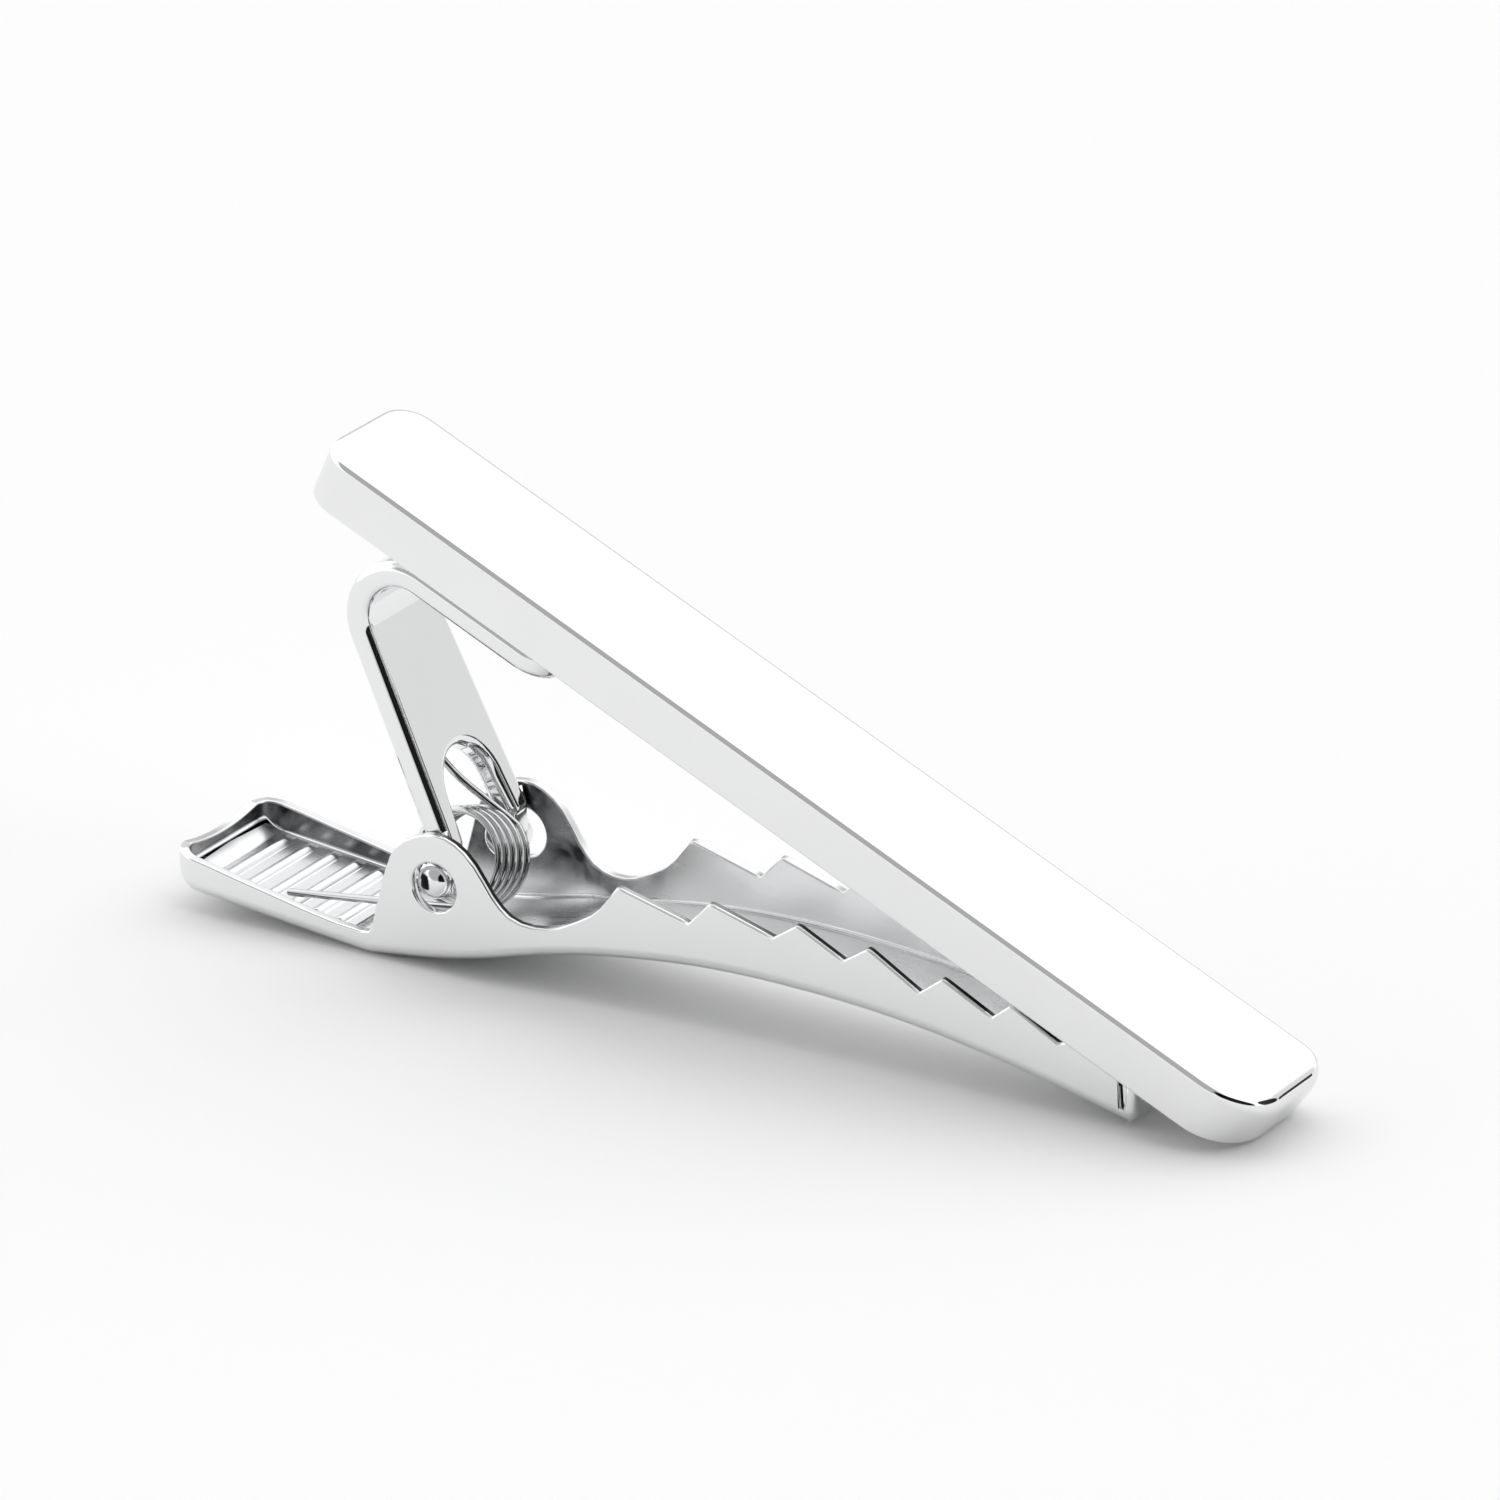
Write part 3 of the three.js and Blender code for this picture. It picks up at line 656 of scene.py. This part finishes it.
    grid = []
    for x in fine:
        row = []
        for k in range(25):
            y = floor_half(x) * (k / 12 - 1)
            dx = (floor_z(x + 0.01, y) - floor_z(x - 0.01, y)) / 0.02
            dy = (floor_z(x, y + 0.01) - floor_z(x, y - 0.01)) / 0.02
            row.append(skin.vertex(Vector((x, y, floor_z(x, y))), Vector((-dx, -dy, 1)).normalized()))
        grid.append(row)
    for first, second in zip(grid, grid[1:]):
        skin.strip(first, second, closed=False)

    # ears with their holes
    for side in (-1, 1):
        run_in = [i for i in ear if path[i][1] * side > 0]
        run_in.sort(key=lambda i: path[i][0])
        for face, depth, group in ((1, 0.0, outer), (-1, SHEET, inner)):
            skin.slot = INSIDE if group is inner else PLATE
            y = skin.points[group[bends][run_in[0]]].y
            bottom = [group[bends][i] for i in run_in]
            right = [group[k][run_in[-1]] for k in range(bends + 1, len(group))]
            top = [group[-1][i] for i in reversed(run_in[:-1])]
            left = [group[k][run_in[0]] for k in range(len(group) - 2, bends, -1)]
            around = [(skin.points[i].x, skin.points[i].z) for i in bottom + right + top + left]
            hole = arc(hole_x, hole_z, hole_r + fillet, 0, 360, 40)[:-1]
            vertices, faces = triangles(around, [hole], [])
            index = [skin.vertex(Vector((v.x, y, v.y)), Vector((0, side * face, 0))) for v in vertices]
            for f in faces:
                skin.face([index[i] for i in f])
        rings = []
        skin.slot = PLATE
        outside = half_width(-12.7)
        for face in (1, -1):
            turns = [k / 4 * math.pi / 2 for k in range(5)]
            for turn in turns if face > 0 else turns[::-1]:
                grow = fillet * (1 - math.sin(turn))
                deep = fillet * (1 - math.cos(turn))
                w = deep if face > 0 else SHEET - deep
                ring = []
                for k in range(40):
                    a = 2 * math.pi * k / 40
                    ray = Vector((math.cos(a), 0, math.sin(a)))
                    point = Vector((hole_x, side * (outside - w), hole_z)) + ray * (hole_r + grow)
                    normal = Vector((0, side * face * math.cos(turn), 0)) - ray * math.sin(turn)
                    ring.append(skin.vertex(point, normal))
                rings.append(ring)
        for first, second in zip(rings, rings[1:]):
            skin.strip(first, second)
    return skin.build("toothed_jaw_stamped")


# ------------------------------------------------------------------ torsion spring

def torsion_spring():
    wire, coil, turns, pitch, skew = 0.13, 1.6, 4, 0.44, math.radians(18)
    centre = Vector((-12.83, -0.2, 3.05))
    start, end = math.radians(-84), math.radians(53)  # where the arms leave the coil
    lower = Vector((-18.9, -1.75, 1.04))
    arm_gap = 0.03  # between the upper arm and the strap
    tilt = Matrix.Rotation(-skew, 3, "X")

    def on_coil(a):
        along = ((a - (start + end) / 2) / (2 * math.pi) - turns / 2) * pitch
        return tilt @ Vector((coil * math.cos(a), along, coil * math.sin(a))) + centre

    def behind(t, y, gap=0.0):
        return on_strap(FOOT + BEND + t, y, -wire - arm_gap - gap)[0]

    last = end + turns * 2 * math.pi
    first = on_coil(start)
    knots = [(lower, 0), (lower.lerp(first, 0.35), 0), (lower.lerp(first, 0.75), 0)]
    steps = 24 * turns + 9
    for i in range(steps + 1):
        a = start + (last - start) * i / steps
        knots.append((on_coil(a), i / steps))
    out = on_coil(last)
    turn = behind(5.3, 0.35)
    arm = [out.lerp(turn, 0.4), out.lerp(turn, 0.8), behind(4.8, 0.3, 0.05), behind(3.5, 0.2)]
    knots += [(point, 1) for point in arm]

    # a smooth line through the knots, each point with its weight
    line = []
    for i in range(len(knots) - 1):
        p0, p1 = knots[max(i - 1, 0)][0], knots[i][0]
        p2, p3 = knots[i + 1][0], knots[min(i + 2, len(knots) - 1)][0]
        span = (p2 - p1).length
        m1 = (p2 - p0) * (span / max((p2 - p1).length + (p1 - p0).length, 1e-9))
        m2 = (p3 - p1) * (span / max((p3 - p2).length + (p2 - p1).length, 1e-9))
        pieces = 3
        for k in range(pieces):
            u = k / pieces
            point = p1 * (2 * u**3 - 3 * u**2 + 1) + m1 * (u**3 - 2 * u**2 + u)
            point += p2 * (3 * u**2 - 2 * u**3) + m2 * (u**3 - u**2)
            line.append((point, knots[i][1] + (knots[i + 1][1] - knots[i][1]) * u))
    line.append(knots[-1])

    skin = Skin()
    sides = 16
    side = None
    rings = []
    for i, (point, weight) in enumerate(line):
        ahead = (line[min(i + 1, len(line) - 1)][0] - line[max(i - 1, 0)][0]).normalized()
        side = ahead.orthogonal() if side is None else side
        side = (side - side.dot(ahead) * ahead).normalized()
        other = ahead.cross(side)
        tips = [(0.0, 1.0, 0.0)]
        if i in (0, len(line) - 1):
            back = -1 if i == 0 else 1
            # the cut end, rounded over: distance ahead, size and lean of the normal
            rounding = ((0.0, 1.0, 0.0), (0.03, 0.93, 0.5), (0.045, 0.8, 1.2), (0.05, 0.02, 9.0))
            tips = [(shift * back, size, lean * back) for shift, size, lean in rounding]
            tips = tips[::-1] if i == 0 else tips
        for shift, size, lean in tips:
            ring = []
            for k in range(sides):
                a = 2 * math.pi * k / sides
                ray = side * math.cos(a) + other * math.sin(a)
                spot = point + ahead * shift + ray * wire * size
                ring.append(skin.vertex(spot, (ray + ahead * lean).normalized(), weight))
            rings.append(ring)
    for one, two in zip(rings, rings[1:]):
        skin.strip(one, two)
    made = skin.build("torsion_spring_wire")
    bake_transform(made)
    # how far round the coil each vertex lies: 0 on the lower arm, 1 on the upper
    skin.weights
    return made


# ------------------------------------------------------------------ materials

class Tree:
    """Shader nodes: each call makes one, sets or links its inputs and gives back its output."""

    def __init__(self, owner):
        owner.use_nodes = True
        self.nodes, self.links = owner.node_tree.nodes, owner.node_tree.links

    def feed(self, socket, value):
        if isinstance(value, bpy.types.NodeSocket):
            self.links.new(value, socket)
        else:
            socket.default_value = value

    def node(self, kind, output, inputs, **settings):
        made = self.nodes.new("ShaderNode" + kind)
        for name, value in settings.items():
            setattr(made, name, value)
        for name, value in inputs.items():
            self.feed(made.inputs[name], value)
        return made.outputs[output]

    def shade(self, name, value):
        self.feed(self.nodes["Principled BSDF"].inputs[name], value)

    def place(self, kind="Object"):
        return self.node("TexCoord", kind, {})

    def parts(self, vector):
        """The X, Y and Z of a vector."""
        made = self.nodes.new("ShaderNodeSeparateXYZ")
        self.feed(made.inputs["Vector"], vector)
        return made.outputs

    def noise(self, vector, scale, detail=2.0, distortion=0.0):
        inputs = {"Vector": vector, "Scale": scale, "Detail": detail, "Distortion": distortion}
        return self.node("TexNoise", "Fac", inputs)

    def remap(self, value, low, high, to=(0.0, 1.0), kind="LINEAR"):
        """From to[0] where value is low to to[1] where it is high."""
        inputs = {"Value": value, "From Min": low, "From Max": high, "To Min": to[0], "To Max": to[1]}
        return self.node("MapRange", "Result", inputs, interpolation_type=kind)

    def math(self, operation, *values):
        return self.node("Math", 0, dict(enumerate(values)), operation=operation)

    def mix(self, factor, color, other):
        inputs = {"Factor": factor, "A": color, "B": other}
        return self.node("Mix", "Result", inputs, data_type="RGBA")


def chrome(name, color, roughness, scratch, bump, streak=(400, 3000, 3000)):
    """Polished plate: fine wandering polish lines, faint hazy patches and a slightly uneven surface."""
    material = bpy.data.materials.new(name)
    tree = Tree(material)
    place = tree.place()
    stretched = tree.node("Mapping", "Vector", {"Vector": place, "Scale": streak})
    lines = tree.noise(stretched, 1.0, 4.0)
    haze = tree.noise(place, 350.0, 3.0)
    worn = tree.math("MULTIPLY", lines, haze)
    darker = [c * 0.965 for c in color]
    relief = {"Strength": bump, "Distance": 0.00002, "Height": haze}
    tree.shade("Metallic", 1.0)
    tree.shade("Roughness", tree.remap(worn, 0.1, 0.45, (roughness, roughness + scratch)))
    tree.shade("Base Color", tree.mix(haze, (*darker, 1), (*color, 1)))
    tree.shade("Normal", tree.node("Bump", "Normal", relief))
    return material


def inside_painted_shade(name):
    """The inside of the jaw, its colour holding painted shade and painted light.

    Its walls are painted dark, in patches of painted shade, about the ears and on the pad. They are
    painted bright ahead of the ears and at their foot, and the floor, which faces up, is painted bright.
    """
    material = chrome(name, (0.8, 0.81, 0.82), 0.19, 0.12, 0.3)
    tree = Tree(material)
    place = tree.place()
    at = tree.parts(place)
    # patches of painted shade on the walls
    shade_patches = tree.remap(tree.noise(place, 700.0, 3.0, 0.6), 0.38, 0.68)
    off_pad = tree.remap(at["X"], -12.5 * MM, -12.0 * MM)
    ahead = tree.remap(at["X"], -7.8 * MM, -4.6 * MM, kind="SMOOTHSTEP")
    low = tree.remap(at["Z"], 2.2 * MM, 1.2 * MM, kind="SMOOTHSTEP")
    # painted light ahead of the ears and low on the walls ahead of the pad
    bright = tree.math("MAXIMUM", tree.math("MULTIPLY", low, off_pad), ahead)
    # painted shade: dim on the pad's walls, near black about the ears
    dark = tree.mix(off_pad, (0.16, 0.16, 0.165, 1), (0.035, 0.035, 0.038, 1))
    wall = tree.mix(shade_patches, dark, (0.4, 0.403, 0.41, 1))
    wall = tree.mix(bright, wall, (0.99, 0.99, 0.99, 1))
    # painted light: faces turned up, such as the floor, are painted bright
    facing = tree.parts(tree.node("NewGeometry", "Normal", {}))
    level = tree.remap(facing["Z"], 0.25, 0.9)
    tree.shade("Base Color", tree.mix(level, wall, (0.8, 0.81, 0.82, 1)))
    return material


def edge_painted_shade(name):
    """The inner part of the sheet's cut edge, with painted shade and painted dark reflections along the
    ears, the front teeth and the lip.

    It is painted bright on the +Y wall.
    """
    material = chrome(name, (0.8, 0.81, 0.82), 0.12, 0.15, 0.3)
    tree = Tree(material)
    at = tree.parts(tree.place())
    back, front = -22, 16
    # painted shade and dark reflections along the edge, set stop by stop over X
    ramp = tree.nodes.new("ShaderNodeValToRGB")
    stops = ramp.color_ramp.elements
    stops[0].color, stops[1].color = (0.75, 0.75, 0.76, 1), (0.01, 0.01, 0.01, 1)
    for x, shade in ((-10.3, 0.7), (-9.5, 0.01), (-6.6, 0.01), (-5.9, 0.5), (-1.5, 0.4), (3.2, 0.01)):
        stop = stops.new((x - back) / (front - back))
        stop.color = (shade, shade, shade, 1)
    tree.feed(ramp.inputs["Fac"], tree.remap(at["X"], back * MM, front * MM))
    # the edge on the +Y wall is painted bright
    far = tree.remap(at["Y"], -MM, MM)
    tree.shade("Base Color", tree.mix(far, ramp.outputs["Color"], (0.75, 0.755, 0.76, 1)))
    return material


def pip_painted_shade(material):
    """Painted shade of a punched hollow: a dark patch in the end of each pip, to the rear of its middle.

    The pip itself is a plain dome.
    """
    tree = Tree(material)
    place = tree.place()
    shade_x, shade_z = HINGE[0] + SHIFT.x - 0.14, HINGE[1] + 0.02
    half_x, half_z = 0.19, 0.31
    pip_side = 2.55  # the strap's own sides lie within this, the pips' ends beyond it
    oval = {
        "Vector": place,
        "Location": (-shade_x / half_x, 0, -shade_z / half_z),
        "Scale": (1 / (half_x * MM), 0, 1 / (half_z * MM)),
    }
    away = tree.node("Mapping", "Vector", oval)
    reach = tree.node("VectorMath", "Value", {0: away}, operation="LENGTH")
    ragged = tree.math("MULTIPLY_ADD", tree.noise(place, 2600.0), 1.6, reach)
    hollow_shade = tree.remap(ragged, 1.95, 1.7)
    outer = tree.math("GREATER_THAN", tree.math("ABSOLUTE", tree.parts(place)["Y"]), pip_side * MM)
    plate = tree.nodes["Principled BSDF"].inputs["Base Color"].links[0].from_socket
    both = tree.math("MULTIPLY", hollow_shade, outer)
    # the painted shade, near black, laid over the plate's colour on the pips' ends
    tree.shade("Base Color", tree.mix(both, plate, (0.01, 0.01, 0.011, 1)))
    return material


def dress(piece, node, material, body=None, inside=()):
    for each in (material, *inside):
        piece.data.materials.append(each)
    if body:
        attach(piece, body)
    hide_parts(node)


# ------------------------------------------------------------------ studio

# Directions from the clip, full within and gone beyond (degrees), brightness.
# The fourth is the direction of the camera.
DARK_SPOTS = [
    ((0.05, -0.75, 0.62), 34, 46, 0.33),
    ((0.80, -0.57, 0.18), 31, 36, 0.01),
    ((0.88, 0.42, 0.22), 15, 18, 0.03),
    ((0.474, -0.783, 0.403), 5, 8, 0.0),
    ((0.61, 0.78, 0.10), 16, 32, 0.58),
    ((-0.35, 0.93, 0.10), 15, 33, 0.45),
]
BRIGHTNESS = 1.45


def flat_piece(name, corners, surface, shade):
    mesh = bpy.data.meshes.new(name)
    mesh.from_pydata(corners, [], [(0, 1, 2, 3)])
    piece = add_object(mesh, name)
    material = bpy.data.materials.new(surface)
    tree = Tree(material)
    tree.shade("Base Color", (shade, shade, shade, 1))
    piece.data.materials.append(material)
    return piece, tree


def make_floor():
    half = 3.0
    corners = [(-half, -half, 0), (half, -half, 0), (half, half, 0), (-half, half, 0)]
    floor, tree = flat_piece("floor", corners, "paper", 0.93)
    tree.shade("Roughness", 0.9)
    tree.shade("Specular IOR Level", 0.1)


def make_dark_card():
    """A small dark card beyond the nose. Only the metal's reflections show it."""
    nose = Vector((17.5, 0, 1)) + SHIFT
    middle = (nose + Vector((62, 78, 9))) * MM
    across, up = Vector((0.78, -0.62, 0)) * 14 * MM, Vector((0, 0, 9)) * MM
    corners = [middle - across - up, middle + across - up, middle + across + up, middle - across + up]
    card, _ = flat_piece("dark_card", corners, "black_card", 0.01)
    card.visible_camera = card.visible_diffuse = card.visible_shadow = False


def make_light():
    """A white studio all round, dimmed in the directions of DARK_SPOTS."""
    world = bpy.data.worlds.new("studio")
    tree = Tree(world)
    place = tree.place("Generated")
    level = tree.node("Value", 0, {})
    level.default_value = BRIGHTNESS
    for direction, inner, outer, dark in DARK_SPOTS:
        inputs = {0: place, 1: Vector(direction).normalized()}
        toward = tree.node("VectorMath", "Value", inputs, operation="DOT_PRODUCT")
        edge, full = math.cos(math.radians(outer)), math.cos(math.radians(inner))
        spot = tree.remap(toward, edge, full, kind="SMOOTHSTEP")
        level = tree.math("MULTIPLY", level, tree.remap(spot, 0.0, 1.0, (1.0, dark)))
    back = tree.nodes["Background"]
    back.inputs["Color"].default_value = (1, 1, 1, 1)
    tree.feed(back.inputs["Strength"], level)
    bpy.context.scene.world = world
    bpy.context.scene.view_settings.view_transform = "Standard"


make_camera()
bar_plate = chrome("plate_bar", (0.85, 0.853, 0.857), 0.03, 0.04, 0.02)
seam_grey = chrome("solder_grey", (0.6, 0.61, 0.62), 0.3, 0.3, 0.6, (900, 900, 900))
# the strap's plate, with painted shade on the pips' ends
strap_plate = pip_painted_shade(chrome("plate_strap", (0.84, 0.845, 0.85), 0.04, 0.05, 0.05))
jaw_plate = chrome("plate_jaw", (0.84, 0.845, 0.85), 0.05, 0.06, 0.1)
# the jaw's inside and cut-edge materials carry painted shade and light
jaw_painted_shade = inside_painted_shade("jaw_inside_painted_shade"), edge_painted_shade("jaw_edge_painted_shade")
wire_plate = chrome("wire_bright", (0.6, 0.605, 0.61), 0.06, 0.08, 0.08)
dress(front_bar(), "front_bar", bar_plate, "bar")
dress(solder_seam(), "solder_seam", seam_grey, "bar")
dress(clasp_strap(), "clasp_strap", strap_plate, "bar")
dress(toothed_jaw(), "toothed_jaw", jaw_plate, "jaw", jaw_painted_shade)
dress(torsion_spring(), "torsion_spring", wire_plate)
make_floor()
make_dark_card()
make_light()
